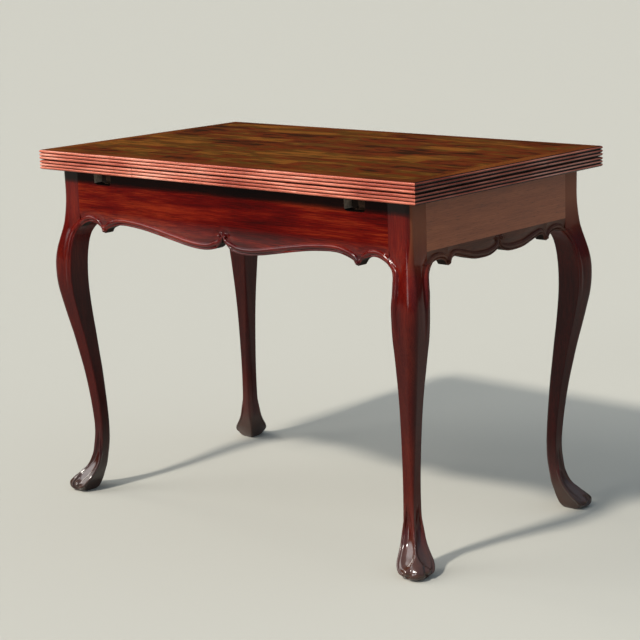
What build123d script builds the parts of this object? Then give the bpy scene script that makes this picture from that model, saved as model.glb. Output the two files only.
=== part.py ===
from build123d import *
import math
import os

# A games table with a draw-leaf top, in millimetres. X runs along the long
# side, Y towards the back, Z up. The origin is on the floor, bottom centre.

# Overall sizes
table_length = 1035.0
table_width = 603.0
table_height = 760.0
end_overhang = 38.0
side_overhang = 28.0

# Layers of the top, from the main top down
top_thickness = 20.5
rest_gap = 0.2
felt_thickness = 1.3
board_thickness = 20.0
slide_gap = 0.3

# Edge mouldings, each with half-round reeds
lip_width = 30.0
reed_count = 3
reed_depth = 2.8
reed_land = 0.5
lip_joint_inset = 288.5
lip_joint_recess = 0.8

# Frame boards, their heights given as drops below the top of the frame
apron_thickness = 22.0
front_lobe_drop = 137.5
front_carve_rise = 30.5
side_lobe_drop = 135.5
side_carve_rise = 16.0
strip_joint_drop = 98.0
bead_height = 18.0
bead_proud = 2.0
tenon_thickness = 10.0
tenon_length = 25.0
tenon_setback = 6.0
tenon_drop = 12.0
tenon_height = 78.0
tenon_end_gap = 0.5

# Scrolls on the frame boards
front_scroll_share = 0.829
front_scroll_drop = 118.0
side_scroll_share = 0.738
side_scroll_drop = 119.0
scroll_radius = 13.0
scroll_proud = 4.0
scroll_dip_share = 0.949
eye_place = 8.5
eye_drop = 110.0
eye_radius = 7.0

# Legs
leg_block = 50.0
leg_block_height = 122.0
leg_corner_radius = 10.0
leg_edge_radius = 3.5

# Openings for the bearers in the long frame boards
notch_inset = 79.5
notch_width = 52.0
notch_depth = 27.0
notch_radius = 8.0

# Bearers under the leaves
loper_width = 22.0
loper_offset = 12.0
loper_head_setback = 10.0
loper_tail_gap = 4.5
loper_play = 0.3
loper_bevel = 6.0
loper_arris = 5.0
centre_board_width = 93.0
leaf_joint_gap = 0.5
leaf_hold = 6.0
guide_width = 17.5
guide_height = 44.0
guide_play = 0.5

# Stop pegs under the bearers
stop_peg_radius = 5.0
stop_peg_drop = 12.0
stop_peg_seat = 15.0
stop_gap = 0.7

# Locating pegs under the main top, and the felts that it rests on
felt_width = 15.0
peg_place_share = 0.3865
peg_radius = 14.0
peg_length = 50.0
peg_play = 0.3

# Corner blocks
corner_block_reach = 40.0
corner_block_height = 36.0
corner_block_drop = 44.0

# Screws: head radius, head height, shank radius and depth in the far piece
screw_head_radius = 4.5
screw_head_height = 3.0
screw_shank_radius = 2.2
screw_bite = 13.0
loper_screw_cover = 16.0
loper_screw_shares = (0.236, 0.491, 0.747)
board_screw_spread = 10.0
board_screw_bite = 32.0
guide_screw_spread = 28.0
guide_screw_cover = 26.0
peg_screw_cover = 38.0
corner_screw_bite = 22.0
corner_screw_cover = 24.0

# Outlines as shares. Front edge: place over the half span between the leg
# blocks, rise over the carved rise. The scroll stands between the two parts.
front_edge_shares = (
    (0.000, 1.00), (0.021, 0.51), (0.051, 0.20), (0.105, 0.03), (0.168, 0.00), (0.240, 0.10),
    (0.333, 0.31), (0.442, 0.61), (0.547, 0.85), (0.640, 0.93), (0.717, 0.85), (0.764, 0.64),
    (0.792, 0.38),
)
front_arch_shares = ((0.868, 0.57), (0.889, 0.90), (0.920, 1.00), (0.959, 0.85), (1.000, 0.49))
side_edge_shares = (
    (0.000, 0.66), (0.045, 0.53), (0.112, 0.16), (0.224, 0.00), (0.349, 0.03), (0.447, 0.34),
    (0.537, 0.75), (0.617, 0.97), (0.658, 0.94), (0.672, 0.70),
)
side_arch_shares = ((0.805, 0.60), (0.860, 0.88), (0.915, 0.90), (0.955, 0.86), (1.000, 0.77))

# Leg stations from the floor up: height over the free height of the leg,
# then outer corner, inner corner and half width over the leg block. Both
# corners are measured outwards from the two faces of the frame. The block's
# own stations follow, their heights over the height of the block.
leg_station_shares = (
    (0.0000, 0.2, -0.54, 0.42),
    (0.0072, 0.36, -0.57, 0.49),
    (0.0169, 0.42, -0.6, 0.53),
    (0.0289, 0.35, -0.64, 0.54),
    (0.0470, 0.12, -0.7, 0.51),
    (0.0663, -0.1, -0.76, 0.46),
    (0.0940, -0.29, -0.85, 0.4),
    (0.1301, -0.42, -0.93, 0.345),
    (0.1807, -0.5, -1, 0.305),
    (0.2409, -0.52, -1.03, 0.285),
    (0.3132, -0.47, -1.02, 0.285),
    (0.3855, -0.385, -0.98, 0.295),
    (0.4578, -0.28, -0.93, 0.315),
    (0.5301, -0.145, -0.86, 0.345),
    (0.6023, 0, -0.79, 0.385),
    (0.6626, 0.145, -0.73, 0.425),
    (0.7228, 0.28, -0.68, 0.465),
    (0.7770, 0.37, -0.65, 0.5),
    (0.8312, 0.405, -0.645, 0.52),
    (0.8794, 0.39, -0.665, 0.525),
    (0.9180, 0.325, -0.7, 0.51),
    (0.9493, 0.245, -0.75, 0.497),
    (0.9734, 0.175, -0.83, 0.49),
    (0.9903, 0.13, -0.93, 0.492),
    (1.0000, 0.11, -1, 0.5),
)
block_station_shares = (
    (0.176, 0.045, -1, 0.5),
    (0.382, 0.01, -1, 0.5),
    (0.588, 0, -1, 0.5),
    (1.000, 0, -1, 0.5),
)

# Sizes that follow
overrun = lip_width
frame_top = table_height - top_thickness - rest_gap - felt_thickness - board_thickness
board_top = frame_top + board_thickness
leaf_bottom = frame_top + slide_gap
leaf_thickness = board_thickness - slide_gap
top_bottom = table_height - top_thickness
half_length = table_length / 2
half_width = table_width / 2
frame_x = half_length - end_overhang
frame_y = half_width - side_overhang
inner_x = frame_x - apron_thickness
inner_y = frame_y - apron_thickness
block_x = frame_x - leg_block
block_y = frame_y - leg_block
leg_free_height = frame_top - leg_block_height
front_scroll_place = front_scroll_share * block_x
side_scroll_place = side_scroll_share * block_y
lip_joint_place = half_length - lip_joint_inset
notch_place = block_x - notch_inset
peg_place = peg_place_share * half_length
board_half = centre_board_width / 2
leaf_inner_y = board_half + leaf_joint_gap
leaf_depth = half_width - leaf_inner_y
draw_run = leaf_depth - leaf_hold
draw_slope = (top_thickness + rest_gap + felt_thickness) / leaf_depth
notch_floor = frame_top - notch_depth
stop_peg_y = draw_run + stop_peg_radius + stop_gap - inner_y
peg_bottom = top_bottom - peg_length
corner_block_z = frame_top - corner_block_drop - corner_block_height
felt_y = board_half - felt_width


def box_between(x0, x1, y0, y1, z0, z1):
    """A box given by its two corners."""
    return Pos((x0 + x1) / 2, (y0 + y1) / 2, (z0 + z1) / 2) * Box(x1 - x0, y1 - y0, z1 - z0)


def prism_y(points, y0, y1):
    """A solid whose outline in X and Z runs from y0 to y1."""
    face = make_face(Polyline(*[(x, 0, z) for x, z in points], close=True))
    return Pos(0, y0, 0) * extrude(face, amount=y1 - y0, dir=(0, 1, 0))


def prism_z(points, z0, z1):
    """A solid whose outline in X and Y runs from z0 to z1."""
    face = make_face(Polyline(*[(x, y, 0) for x, y in points], close=True))
    return Pos(0, 0, z0) * extrude(face, amount=z1 - z0, dir=(0, 0, 1))


def rod(radius, start, end):
    """A round bar between two points."""
    axis = Vector(*end) - Vector(*start)
    plane = Plane(origin=start, z_dir=axis)
    return plane * Cylinder(radius, axis.length, align=(Align.CENTER, Align.CENTER, Align.MIN))


def screw(head, tip):
    """A screw whose head starts at one point and whose tip is at the other."""
    axis = (Vector(*tip) - Vector(*head)).normalized()
    neck = Vector(*head) + axis * screw_head_height
    return rod(screw_head_radius, head, tuple(neck)) + rod(screw_shank_radius, head, tip)


def screw_hole(mouth, head, tip):
    """The counterbore and the hole that a screw sits in."""
    axis = (Vector(*tip) - Vector(*head)).normalized()
    neck = Vector(*head) + axis * screw_head_height
    return rod(screw_head_radius, mouth, tuple(neck)) + rod(screw_shank_radius, head, tip)


def reeded_strip(length, thickness, left_mitre, right_mitre):
    """An edge moulding along X, its reeds at Y = 0 and its back at Y = width."""
    pitch = thickness / reed_count
    edges = []
    for index in range(reed_count):
        low = index * pitch
        high = low + pitch
        edges.append(Line((0, reed_depth, low), (0, reed_depth, low + reed_land / 2)))
        edges.append(ThreePointArc(
            (0, reed_depth, low + reed_land / 2), (0, 0, (low + high) / 2), (0, reed_depth, high - reed_land / 2)))
        edges.append(Line((0, reed_depth, high - reed_land / 2), (0, reed_depth, high)))
    edges.append(Line((0, reed_depth, thickness), (0, lip_width, thickness)))
    edges.append(Line((0, lip_width, thickness), (0, lip_width, 0)))
    edges.append(Line((0, lip_width, 0), (0, reed_depth, 0)))
    face = make_face(Wire(edges))
    strip = Pos(-length / 2, 0, 0) * extrude(face, amount=length, dir=(1, 0, 0))
    left = -length / 2 + (lip_width if left_mitre else 0)
    right = length / 2 - (lip_width if right_mitre else 0)
    plan = [(-length / 2, 0), (length / 2, 0), (right, lip_width), (left, lip_width)]
    return strip & prism_z(plan, 0, thickness)


def edge_points(shares, span, low, rise):
    """Points of a carved edge from their shares."""
    return [(place * span, 0, low + height * rise) for place, height in shares]


def carved_half(edge_shares, arch_shares, span, drop, rise, scroll_place, scroll_drop):
    """The lower edge of a frame board from its middle to the leg block."""
    edge = edge_points(edge_shares, span, frame_top - drop, rise)
    arch = edge_points(arch_shares, span, frame_top - drop, rise)
    dip = (scroll_place, 0, frame_top - scroll_drop - scroll_radius * scroll_dip_share)
    return [Spline(*edge), ThreePointArc(edge[-1], dip, arch[0]), Spline(*arch)]


def mirrored(edges):
    """The same edges on the other side of the middle."""
    return [edge.mirror(Plane.YZ) for edge in edges]


def board_face(edges, span, top):
    """The face of a frame board above its carved lower edge."""
    ends = edges[-1] @ 1
    corners = [
        Line((span, 0, ends.Z), (span, 0, top)),
        Line((span, 0, top), (-span, 0, top)),
        Line((-span, 0, top), (-span, 0, ends.Z)),
    ]
    return make_face(Wire(edges + mirrored(edges) + corners))


def carved_board(edges, span, top, scrolls, eyes):
    """A frame board along X with its outer face at Y = 0 and its bead."""
    face = board_face(edges, span, top)
    board = extrude(face, amount=apron_thickness, dir=(0, 1, 0))
    band = face - Pos(0, 0, bead_height) * face
    board += extrude(band, amount=bead_proud, dir=(0, -1, 0))
    for x, z in scrolls:
        board += rod(scroll_radius, (x, -scroll_proud, z), (x, apron_thickness, z))
    for x, z in eyes:
        board += rod(eye_radius, (x, -scroll_proud, z), (x, apron_thickness, z))
    return board


def tenons(span, grow, reach):
    """The two tenons of a frame board, or their mortises when grown."""
    z1 = frame_top - tenon_drop
    z0 = z1 - tenon_height
    y0 = tenon_setback
    y1 = tenon_setback + tenon_thickness
    right = box_between(span - grow, span + reach, y0, y1, z0, z1)
    left = box_between(-span - reach, -span + grow, y0, y1, z0, z1)
    return right + left


def front_apron():
    """The long frame board, in its own place at the front."""
    edges = carved_half(
        front_edge_shares, front_arch_shares, block_x, front_lobe_drop, front_carve_rise,
        front_scroll_place, front_scroll_drop)
    scrolls = [(side * front_scroll_place, frame_top - front_scroll_drop) for side in (-1, 1)]
    eyes = [(side * eye_place, frame_top - eye_drop) for side in (-1, 1)]
    board = carved_board(edges, block_x, frame_top, scrolls, eyes) + tenons(block_x, 0, tenon_length)
    slot = RectangleRounded(notch_width, 2 * notch_depth, notch_radius)
    cutter = extrude(Plane.XZ * slot, amount=apron_thickness, both=True)
    for side in (-1, 1):
        board -= Pos(side * notch_place, 0, frame_top) * cutter
    return Pos(0, -frame_y, 0) * board


def end_boards():
    """The plain board and the carved strip of a short side, at Y = 0."""
    edges = carved_half(
        side_edge_shares, side_arch_shares, block_y, side_lobe_drop, side_carve_rise,
        side_scroll_place, side_scroll_drop)
    scrolls = [(side * side_scroll_place, frame_top - side_scroll_drop) for side in (-1, 1)]
    joint = frame_top - strip_joint_drop
    strip = carved_board(edges, block_y, joint, scrolls, [])
    plain = box_between(-block_y, block_y, 0, apron_thickness, joint, frame_top)
    return plain + tenons(block_y, 0, tenon_length), strip


def end_place(side):
    """The place of a short side's boards."""
    return Rot(0, 0, side * 90) * Pos(0, -frame_x, 0)


def leg_section(height, shares):
    """One section of the front left leg, square to the corner and rounded."""
    outer, inner, half = [share * leg_block for share in shares]
    middle = (outer + inner) / 2
    centre_x = -frame_x - middle
    centre_y = -frame_y - middle
    reach = (outer - inner) / 2
    points = [
        (centre_x - reach, centre_y - reach), (centre_x + half, centre_y - half),
        (centre_x + reach, centre_y + reach), (centre_x - half, centre_y + half),
    ]
    face = make_face(Polyline(*[(x, y, height) for x, y in points], close=True))
    corners = sorted(face.vertices(), key=lambda v: v.X + v.Y)
    share = min(1.0, reach * 2 / leg_block)
    face = fillet(corners[0], leg_corner_radius * share)
    rest = sorted(face.vertices(), key=lambda v: v.X + v.Y)[2:]
    return fillet(rest, leg_edge_radius * share)


def cabriole_leg():
    """The front left leg, with the mortises of its two frame boards."""
    sections = [leg_section(row[0] * leg_free_height, row[1:]) for row in leg_station_shares]
    sections += [leg_section(leg_free_height + row[0] * leg_block_height, row[1:]) for row in block_station_shares]
    leg = loft(sections, ruled=True)
    leg -= Pos(0, -frame_y, 0) * tenons(block_x, overrun, tenon_length + tenon_end_gap)
    leg -= end_place(-1) * tenons(block_y, overrun, tenon_length + tenon_end_gap)
    return leg


def corner_block():
    """The brace behind the front left leg."""
    points = [
        (-block_x, -inner_y), (-block_x + corner_block_reach, -inner_y),
        (-inner_x, -block_y + corner_block_reach), (-inner_x, -block_y), (-block_x, -block_y),
    ]
    return prism_z(points, corner_block_z, corner_block_z + corner_block_height)


def corner_screw_points():
    """Mouth, head and tip of the screw through the front left brace."""
    z = corner_block_z + corner_block_height / 2
    near = corner_screw_cover / math.sqrt(2)
    far = corner_screw_bite / math.sqrt(2)
    head = (-block_x + near, -block_y + near, z)
    mouth = (head[0] + overrun, head[1] + overrun, z)
    tip = (-block_x - far, -block_y - far, z)
    return mouth, head, tip


def four_corners(shape):
    """A front left shape copied to the four corners, with their names."""
    right = shape.mirror(Plane.YZ)
    return {
        "front_left": shape, "front_right": right,
        "back_left": shape.mirror(Plane.XZ), "back_right": right.mirror(Plane.XZ),
    }


def loper_bottom(y):
    """Height of a front bearer's lower edge when the leaf is closed."""
    return notch_floor + loper_play - draw_slope * (y + inner_y)


def loper_tail_top(y):
    """Height of a front bearer's upper edge behind its leaf."""
    return frame_top - loper_play - draw_slope * (y + board_half)


def loper(x):
    """A tapered bearer of the front leaf, centred on x."""
    head_y = -frame_y + loper_head_setback
    tail_y = inner_y - loper_tail_gap
    points = [
        (head_y, leaf_bottom), (-leaf_inner_y, leaf_bottom), (-leaf_inner_y, loper_tail_top(-leaf_inner_y)),
        (tail_y, loper_tail_top(tail_y)), (tail_y, loper_bottom(tail_y)),
        (head_y + loper_bevel, loper_bottom(head_y + loper_bevel)), (head_y, loper_bottom(head_y) + loper_bevel),
    ]
    bearer = Rot(0, 0, 90) * prism_y(points, -loper_width / 2, loper_width / 2)
    lower_edges = bearer.edges().sort_by(SortBy.LENGTH)[-2:]
    return Pos(x, 0, 0) * chamfer(lower_edges, loper_arris)


def loper_screws(x):
    """Mouth, head and tip of the screws of one bearer."""
    found = []
    for share in loper_screw_shares:
        y = -half_width + share * leaf_depth
        head = (x, y, leaf_bottom - loper_screw_cover)
        found.append(((x, y, head[2] - overrun), head, (x, y, leaf_bottom + screw_bite)))
    return found


def front_leaf():
    """All pieces of the front leaf, under their names."""
    core_y0 = -half_width + lip_width
    core_x = half_length - lip_width
    panel = box_between(-core_x, core_x, core_y0, -leaf_inner_y, leaf_bottom, board_top)
    side_length = half_length - lip_joint_place
    side_centre = (half_length + lip_joint_place) / 2
    end_length = leaf_depth
    end_centre = -(half_width + leaf_inner_y) / 2
    left = Pos(-side_centre, -half_width, leaf_bottom) * reeded_strip(side_length, leaf_thickness, True, False)
    right = Pos(side_centre, -half_width, leaf_bottom) * reeded_strip(side_length, leaf_thickness, False, True)
    middle = Pos(0, lip_joint_recess - half_width, leaf_bottom) * reeded_strip(
        2 * lip_joint_place, leaf_thickness, False, False)
    middle &= box_between(-half_length, half_length, -half_width, core_y0, leaf_bottom, board_top)
    end_left = Pos(-half_length, end_centre, leaf_bottom) * Rot(0, 0, -90) * reeded_strip(
        end_length, leaf_thickness, False, True)
    end_right = Pos(half_length, end_centre, leaf_bottom) * Rot(0, 0, 90) * reeded_strip(
        end_length, leaf_thickness, True, False)
    places = {"left": -notch_place + loper_offset, "right": notch_place + loper_offset}
    pieces = {
        "lip_left": left, "lip_middle": middle, "lip_right": right,
        "end_lip_left": end_left, "end_lip_right": end_right,
    }
    screws = []
    stops = []
    for name, x in places.items():
        bearer = loper(x)
        peg_z = loper_bottom(stop_peg_y)
        peg = rod(stop_peg_radius, (x, stop_peg_y, peg_z - stop_peg_drop), (x, stop_peg_y, peg_z + stop_peg_seat))
        bearer -= peg
        for mouth, head, tip in loper_screws(x):
            hole = screw_hole(mouth, head, tip)
            bearer -= hole
            panel -= hole
            screws.append(screw(head, tip))
        stops.append(peg)
        pieces["loper_" + name] = bearer
    pieces["panel"] = panel
    pieces["loper_screws"] = screws
    pieces["stop_pegs"] = stops
    return pieces


def centre_board():
    """The fixed board between the leaves, with its edges, felts and screws."""
    core_x = half_length - lip_width
    board = box_between(-core_x, core_x, -board_half, board_half, frame_top, board_top)
    for side in (-1, 1):
        board -= rod(peg_radius + peg_play, (side * peg_place, 0, frame_top), (side * peg_place, 0, board_top))
    strip = reeded_strip(centre_board_width, board_thickness, False, False)
    pieces = {
        "centre_board_lip_left": Pos(-half_length, 0, frame_top) * Rot(0, 0, -90) * strip,
        "centre_board_lip_right": Pos(half_length, 0, frame_top) * Rot(0, 0, 90) * strip,
    }
    for name, side in (("front", -1), ("back", 1)):
        pieces["felt_strip_" + name] = box_between(
            -core_x, core_x, side * felt_y - felt_width / 2, side * felt_y + felt_width / 2,
            board_top, board_top + felt_thickness)
    screws = []
    holes = []
    for side in (-1, 1):
        for turn in (-1, 1):
            x = side * (frame_x - apron_thickness / 2)
            y = turn * board_screw_spread
            head = (x, y, board_top)
            tip = (x, y, frame_top - board_screw_bite)
            screws.append(screw(head, tip))
            holes.append(screw_hole(head, head, tip))
    return board, pieces, screws, holes


def loper_guides():
    """The guide blocks under the centre board, and their screws."""
    reach = loper_offset + loper_width / 2 + guide_play
    guides = {}
    screws = []
    holes = []
    for name, side in (("left", -1), ("right", 1)):
        for part, turn in (("outer", 1), ("inner", -1)):
            x0 = side * (notch_place + turn * reach)
            x1 = x0 + side * turn * guide_width
            guides["loper_guide_%s_%s" % (name, part)] = box_between(
                min(x0, x1), max(x0, x1), -board_half, board_half, frame_top - guide_height, frame_top)
            for half in (-1, 1):
                x = (x0 + x1) / 2
                y = half * guide_screw_spread
                head = (x, y, frame_top - guide_screw_cover)
                tip = (x, y, frame_top + screw_bite)
                screws.append(screw(head, tip))
                holes.append(screw_hole((x, y, head[2] - overrun), head, tip))
    return guides, screws, holes


def main_top():
    """All pieces of the main top, under their names."""
    core_x = half_length - lip_width
    core_y = half_width - lip_width
    panel = box_between(-core_x, core_x, -core_y, core_y, top_bottom, table_height)
    long_strip = Pos(0, -half_width, top_bottom) * reeded_strip(table_length, top_thickness, True, True)
    short_strip = Pos(0, -half_length, top_bottom) * reeded_strip(table_width, top_thickness, True, True)
    pieces = {
        "top_lip_front": long_strip, "top_lip_back": Rot(0, 0, 180) * long_strip,
        "top_lip_left": Rot(0, 0, -90) * short_strip, "top_lip_right": Rot(0, 0, 90) * short_strip,
    }
    screws = []
    for name, side in (("left", -1), ("right", 1)):
        x = side * peg_place
        head = (x, 0, top_bottom - peg_screw_cover)
        tip = (x, 0, top_bottom + screw_bite)
        hole = screw_hole((x, 0, peg_bottom), head, tip)
        panel -= hole
        pieces["locating_peg_" + name] = rod(peg_radius, (x, 0, peg_bottom), (x, 0, top_bottom)) - hole
        screws.append(screw(head, tip))
    pieces["top_panel"] = panel
    pieces["peg_screws"] = screws
    return pieces


def turned(shape):
    """The same piece, or group of pieces, turned half round to the back."""
    if isinstance(shape, list):
        return [Rot(0, 0, 180) * single for single in shape]
    return Rot(0, 0, 180) * shape


def frame_pieces():
    """All pieces that stand still, under their names."""
    pieces = {}
    front = front_apron()
    plain, strip = end_boards()
    mouth, head, tip = corner_screw_points()
    leg = cabriole_leg() - screw_hole(mouth, head, tip)
    block = corner_block() - screw_hole(mouth, head, tip)
    for name, shape in four_corners(leg).items():
        pieces["leg_" + name] = shape
    for name, shape in four_corners(block).items():
        pieces["corner_block_" + name] = shape
    pieces["corner_screws"] = list(four_corners(screw(head, tip)).values())
    pieces["apron_front"] = front
    pieces["apron_back"] = Rot(0, 0, 180) * front
    board, board_pieces, board_screws, board_holes = centre_board()
    guides, guide_screws, guide_holes = loper_guides()
    for name, side in (("left", -1), ("right", 1)):
        apron = end_place(side) * plain
        for hole in board_holes:
            apron -= hole
        pieces["apron_" + name] = apron
        pieces["carved_strip_" + name] = end_place(side) * strip
    for name, shape in guides.items():
        for hole in guide_holes:
            shape -= hole
        pieces[name] = shape
    for hole in board_holes + guide_holes:
        board -= hole
    pieces["centre_board"] = board
    pieces.update(board_pieces)
    pieces["centre_board_screws"] = board_screws
    pieces["guide_screws"] = guide_screws
    return pieces


def all_pieces():
    """Every piece of the table, under its node's name."""
    pieces = frame_pieces()
    pieces.update(main_top())
    for name, shape in front_leaf().items():
        pieces["front_leaf_" + name] = shape
        pieces["back_leaf_" + name] = turned(shape)
    return pieces


os.makedirs("parts", exist_ok=True)
for node, shape in all_pieces().items():
    solid = Compound(children=shape) if isinstance(shape, list) else shape
    export_step(solid, os.path.join("parts", node + ".step"))
print("slope", round(draw_slope, 5), "run", draw_run, "lift", round(draw_run * draw_slope, 3))
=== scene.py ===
import bpy
import math
import numpy as np
from mathutils import Matrix, Vector, noise


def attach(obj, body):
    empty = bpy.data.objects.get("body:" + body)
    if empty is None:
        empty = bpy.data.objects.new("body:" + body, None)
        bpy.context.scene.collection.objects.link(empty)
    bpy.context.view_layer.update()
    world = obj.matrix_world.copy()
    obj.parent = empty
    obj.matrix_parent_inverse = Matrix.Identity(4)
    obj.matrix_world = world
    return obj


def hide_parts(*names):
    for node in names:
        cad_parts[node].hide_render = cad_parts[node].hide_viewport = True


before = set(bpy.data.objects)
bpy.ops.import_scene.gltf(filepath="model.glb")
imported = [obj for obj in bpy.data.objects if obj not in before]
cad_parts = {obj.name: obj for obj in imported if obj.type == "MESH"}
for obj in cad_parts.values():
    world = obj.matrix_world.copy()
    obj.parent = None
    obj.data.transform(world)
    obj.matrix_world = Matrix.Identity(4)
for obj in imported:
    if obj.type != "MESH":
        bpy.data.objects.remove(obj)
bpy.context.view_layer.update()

# Four cabriole legs of red-brown mahogany, each sawn from one square post and
# carved by hand: a rounded knee, a foot with a ridge between two flutes and a
# whorl on each side, and the frame's bead running down both inner edges.
MM = 0.001
frame_x = 479.5
frame_y = 273.5
frame_top = 718.0
strip_bottom = 596.0
# Height, then from the frame's corner: how far out the ridge is, how far in
# the back corner, how far in and out the side corners, the corners' radii.
leg_sections = np.array((
    (0.0, 10.5, -24.0, 23.3, 23.3, 6.3, 16.0, 6.0), (4.3, 17.4, -28.0, 25.6, 25.6, 15.1, 19.0, 8.0),
    (10.0, 20.4, -31.5, 28.3, 28.3, 19.0, 20.0, 8.0), (17.2, 19.4, -34.0, 32.8, 32.8, 18.2, 19.0, 8.0),
    (28.0, 13.6, -37.0, 39.5, 39.0, 10.5, 16.0, 6.0), (39.5, 1.4, -39.5, 43.5, 42.5, 0.4, 11.0, 4.0),
    (56.0, -12.6, -43.5, 46.5, 45.5, -11.0, 6.0, 2.0), (77.5, -21.0, -46.5, 48.5, 48.5, -19.0, 3.0, 1.5),
    (107.7, -25.4, -50.0, 50.8, 50.8, -24.0, 2.4, 1.2), (143.6, -26.7, -51.0, 51.5, 51.5, -25.7, 3.0, 1.2),
    (186.7, -24.2, -50.3, 50.0, 50.0, -24.2, 5.0, 1.2), (229.8, -19.9, -48.2, 47.6, 47.6, -20.4, 7.5, 1.4),
    (272.8, -14.4, -45.6, 44.7, 44.7, -15.7, 9.0, 1.5), (315.9, -7.5, -42.0, 40.9, 40.9, -9.3, 10.5, 1.6),
    (359.0, -0.5, -38.6, 37.5, 37.5, -2.0, 12.0, 1.8), (394.9, 5.9, -35.6, 34.6, 34.6, 5.4, 13.0, 1.9),
    (430.8, 11.9, -33.2, 32.4, 32.4, 12.4, 14.0, 2.0), (463.1, 16.9, -31.7, 31.8, 31.8, 17.8, 15.0, 2.0),
    (495.4, 19.0, -31.5, 32.0, 32.0, 20.0, 16.0, 2.0), (524.1, 18.2, -32.6, 33.0, 34.0, 19.2, 16.0, 2.0),
    (547.1, 14.8, -34.6, 33.0, 38.8, 15.9, 15.0, 2.0), (565.8, 10.4, -37.5, 34.8, 43.0, 11.5, 14.0, 2.0),
    (580.2, 7.2, -41.5, 38.0, 50.0, 6.4, 13.0, 1.8), (590.2, 5.0, -46.5, 43.5, 59.0, 2.8, 12.5, 1.5),
    (596.0, 3.8, -50.0, 50.0, 66.0, 1.0, 12.0, 1.0), (617.0, 0.2, -50.0, 50.0, 66.0, 0.0, 12.0, 0.3),
    (642.6, -2.8, -50.0, 50.0, 66.0, 0.0, 12.0, 0.3), (718.0, -3.5, -50.0, 50.0, 66.0, 0.0, 12.0, 0.3),
))
points_per_face = 60
# The sharp corner lies this share of the radius beyond the rounded one.
beyond_round = 0.293
# Between the ankle and the knee the back and side corners are rounder.
ankle_rise = (25, 70)
knee_rise = (200, 420)
back_radius = 3.0
slim_back_radius = 7.0
slim_back_shift = 2.05
slim_side_radius = 2.0
# Heights below which the foot is carved, and between which the knee's carving
# comes up to its full depth.
foot_carving_top = 152
knee_carving = (445, 575)
# On an outer face of the foot, as place inwards from the frame's corner, height
# and half the width: the bead, the flute beside it, and the flute's curl.
foot_eye = (10.5, 17.4)
foot_eye_radius = 7.0
foot_bead = (
    (44, 140, 1.8), (46, 95, 2.4), (46.5, 72, 2.8), (44.5, 57, 3.0), (41.5, 43, 3.3), (37, 29, 3.5),
    (31.5, 19.5, 3.6), (25, 13.0, 3.6), (19, 10.6, 3.4))
foot_flute = (
    (41, 130, 4.0), (37, 95, 8.0), (33, 72, 9.5), (28, 57, 12.0), (20.5, 43, 15.0), (15, 34, 14.0))
curl_radius = 10.4
curl_half_width = 4.8
curl_angles = [math.radians(degrees) for degrees in range(95, 256, 10)]
foot_curl = [(foot_eye[0] + curl_radius * math.cos(angle), foot_eye[1] + curl_radius * math.sin(angle),
              curl_half_width) for angle in curl_angles]
flute_depth = 5.2
curl_depth = 4.4
foot_bead_height = 2.8
eye_rise = 7.8
foot_fade = (95, 140)
ridge_height = 1.0
ridge_half_width = 2.8
ridge_rise = (30, 44)
toe_height = 1.4
toe_level = 20.0
toe_stretch = 1.4
toe_radius = 7.0
# The carved edge of leg and board: a thin bead, a roll that stands out by a
# share of half its width, the hollow above them, and the eyes of the scrolls.
bead_height = 2.0
bead_from_edge = 1.9
bead_half_width = 2.1
roll_share = 0.95
roll_from_edge = 9.0
roll_half_width = 5.0
hollow_depth = 2.2
hollow_from_edge = 15.0
hollow_run = 8.0
eye_share = 1.25
eye_base = 0.4
eye_groove_depth = 0.9
eye_groove_gap = 0.7
eye_groove_width = 0.8
round_the_corner = 4.5
# The thin bead follows the board's whole edge up to this place, and beyond it
# passes by the low points of the scroll and of the leg.
whole_edge = 190.0
passed_by = 0.3
edge_step = 1.0
roll_step = 0.8
leg_angle = 50


def deselect_all():
    """Nothing is selected before the next piece is started."""
    for thing in bpy.context.selected_objects:
        thing.select_set(False)


def step_between(low, high, values):
    """A smooth step from 0 to 1 as the values go from low to high."""
    part = np.clip((np.asarray(values, float) - low) / (high - low), 0, 1)
    return part * part * (3 - 2 * part)


def bump_at(distance, width):
    """A round bump, 1 in its middle and 0 from its width on."""
    return np.sqrt(np.clip(1 - (distance / width) ** 2, 0, None))


def soft_bump(distance, width):
    """A soft bump, 1 in its middle, that meets the face without an edge."""
    return np.clip(1 - (distance / width) ** 2, 0, None) ** 2


def line_through(points, step):
    """A smooth line through points, with a point about every step."""
    points = np.array(points, float)
    padded = np.vstack([2 * points[0] - points[1], points, 2 * points[-1] - points[-2]])
    line = []
    for k in range(1, len(points)):
        a, b, c, d = padded[k - 1:k + 3]
        count = max(2, int(np.linalg.norm((c - b)[:2]) / step))
        for t in np.arange(count) / count:
            line.append(0.5 * (2 * b + (c - a) * t + (2 * a - 5 * b + 4 * c - d) * t ** 2
                               + (3 * b - a - 3 * c + d) * t ** 3))
    line.append(points[-1])
    return np.array(line)


def distance_from_line(line, x, z):
    """How far a place is from a line, and the line's width there (its third number)."""
    best = np.full(np.shape(x), 1e9)
    width = np.ones(np.shape(x))
    for a, b in zip(line[:-1], line[1:]):
        run = b[:2] - a[:2]
        t = np.clip(((x - a[0]) * run[0] + (z - a[1]) * run[1]) / (run @ run + 1e-9), 0, 1)
        away = np.hypot(x - a[0] - t * run[0], z - a[1] - t * run[1])
        closer = away < best
        best = np.where(closer, away, best)
        width = np.where(closer, a[2] + (b[2] - a[2]) * t, width)
    return best, width


def set_aside(line, offset):
    """The line moved sideways, to the left of its run."""
    run = np.gradient(line[:, :2], axis=0)
    run /= np.linalg.norm(run, axis=1)[:, None]
    return np.column_stack([line[:, 0] - offset * run[:, 1], line[:, 1] + offset * run[:, 0]])


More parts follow.
